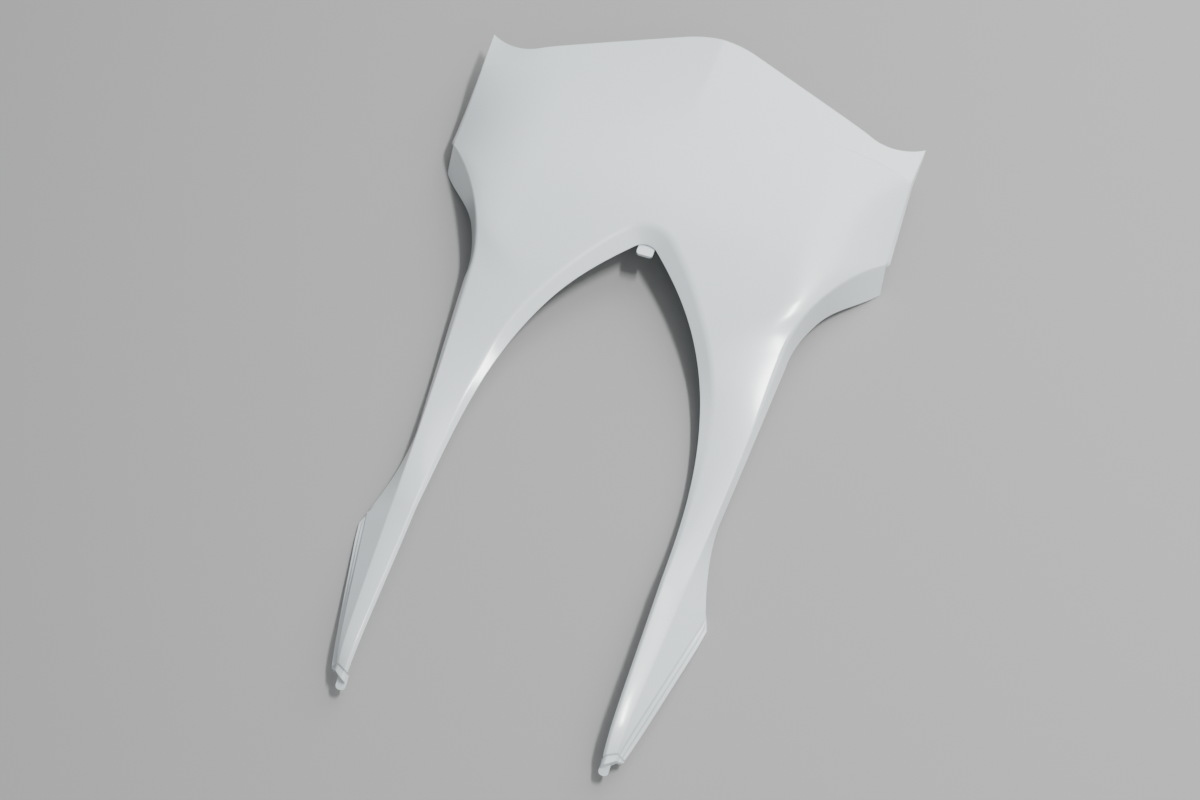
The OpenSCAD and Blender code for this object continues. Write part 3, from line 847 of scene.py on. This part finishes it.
def panel_plastic():
    """Cool white moulded plastic: satin gloss, a faint moulded ripple and grain, and slight
    changes of sheen where it was handled."""
    material = bpy.data.materials.new("panel_plastic")
    material.use_nodes = True
    tree = material.node_tree
    tree.nodes.clear()
    join = tree.links.new
    place_in = node(tree, "ShaderNodeTexCoord")
    shader = node(tree, "ShaderNodeBsdfPrincipled")
    shader.inputs["Base Color"].default_value = (0.80, 0.84, 0.86, 1)
    shader.inputs["IOR"].default_value = 1.53
    shader.inputs["Coat Weight"].default_value = 0.85
    shader.inputs["Coat Roughness"].default_value = 0.17
    out = node(tree, "ShaderNodeOutputMaterial")
    join(shader.outputs["BSDF"], out.inputs["Surface"])

    sheen = node(tree, "ShaderNodeTexNoise", Scale=9.0, Detail=5.0, Roughness=0.6)
    rough = node(tree, "ShaderNodeMapRange")
    rough.inputs["To Min"].default_value = 0.26
    rough.inputs["To Max"].default_value = 0.38
    join(place_in.outputs["Object"], sheen.inputs["Vector"])
    join(sheen.outputs["Fac"], rough.inputs["Value"])
    join(rough.outputs["Result"], shader.inputs["Roughness"])

    tint = node(tree, "ShaderNodeTexNoise", Scale=26.0, Detail=3.0)
    tone = node(tree, "ShaderNodeMix", data_type="RGBA")
    tone.inputs["A"].default_value = (0.765, 0.83, 0.855, 1)
    tone.inputs["B"].default_value = (0.795, 0.86, 0.885, 1)
    join(place_in.outputs["Object"], tint.inputs["Vector"])
    join(tint.outputs["Fac"], tone.inputs["Factor"])
    join(tone.outputs["Result"], shader.inputs["Base Color"])

    grain = node(tree, "ShaderNodeTexNoise", Scale=2600.0, Detail=2.0)
    ripple = node(tree, "ShaderNodeTexNoise", Scale=38.0, Detail=1.0)
    fine = node(tree, "ShaderNodeBump", Strength=0.05, Distance=0.0002)
    broad = node(tree, "ShaderNodeBump", Strength=0.06, Distance=0.002)
    join(place_in.outputs["Object"], grain.inputs["Vector"])
    join(place_in.outputs["Object"], ripple.inputs["Vector"])
    join(grain.outputs["Fac"], fine.inputs["Height"])
    join(ripple.outputs["Fac"], broad.inputs["Height"])
    join(broad.outputs["Normal"], fine.inputs["Normal"])
    join(fine.outputs["Normal"], shader.inputs["Normal"])
    return material


def studio_floor():
    """A plain pale floor, flat and wide."""
    reach = 3.0
    mesh = bmesh.new()
    corners = ((-reach, -reach, 0), (reach, -reach, 0), (reach, reach, 0), (-reach, reach, 0))
    mesh.faces.new([mesh.verts.new(corner) for corner in corners])
    data = bpy.data.meshes.new("studio_floor")
    mesh.to_mesh(data)
    mesh.free()
    material = bpy.data.materials.new("floor_paper")
    material.use_nodes = True
    shader = material.node_tree.nodes["Principled BSDF"]
    shader.inputs["Base Color"].default_value = (0.36, 0.36, 0.355, 1)
    shader.inputs["Roughness"].default_value = 0.9
    data.materials.append(material)
    floor = bpy.data.objects.new("studio_floor", data)
    bpy.context.collection.objects.link(floor)
    return floor


def soft_light(name, towards, distance, size, power):
    """A rectangular area light, the given way and distance from the panel and facing it, with its
    sizes in metres and its power in watts."""
    data = bpy.data.lights.new(name, "AREA")
    data.shape = "RECTANGLE"
    data.size, data.size_y = size
    data.energy = power
    light = bpy.data.objects.new(name, data)
    light.location = Vector(towards).normalized() * distance
    light.rotation_euler = light.location.to_track_quat("Z", "Y").to_euler()
    bpy.context.collection.objects.link(light)
    return light


def studio():
    soft_light("key", towards=(0.24, 0.62, 0.75), distance=1.8, size=(1.4, 1.4), power=23)
    soft_light("glint", towards=(0.35, 0.1, 0.93), distance=1.6, size=(0.42, 0.09), power=22)
    soft_light("fill", towards=(0.6, -0.5, 0.8), distance=1.3, size=(0.9, 0.9), power=3.6)
    soft_light("rim", towards=(0.44, 0.82, 0.36), distance=1.8, size=(0.4, 0.4), power=3)
    world = bpy.data.worlds.new("studio")
    world.use_nodes = True
    world.node_tree.nodes["Background"].inputs["Color"].default_value = (0.92, 0.96, 1.0, 1)
    world.node_tree.nodes["Background"].inputs["Strength"].default_value = 0.31
    bpy.context.scene.world = world


def camera():
    """The photograph's point of view: in front of the right leg, looking down on the panel."""
    right = Vector((0.94858, 0.31654, -0.00128))
    up = Vector((-0.28098, 0.84385, 0.45714))
    back = Vector((0.14578, -0.43327, 0.8894))
    place_at = Vector((0.1631, -0.49667, 0.9859))
    data = bpy.data.cameras.new("camera")
    data.sensor_width = 36
    data.lens = 56.996
    made = bpy.data.objects.new("camera", data)
    turn = Matrix((right, up, back)).transposed().to_4x4()
    made.matrix_world = Matrix.Translation(place_at) @ turn
    bpy.context.collection.objects.link(made)
    bpy.context.scene.camera = made


panel = panel_piece()
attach(panel, "root")
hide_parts("nose_panel")
studio_floor()
studio()
camera()
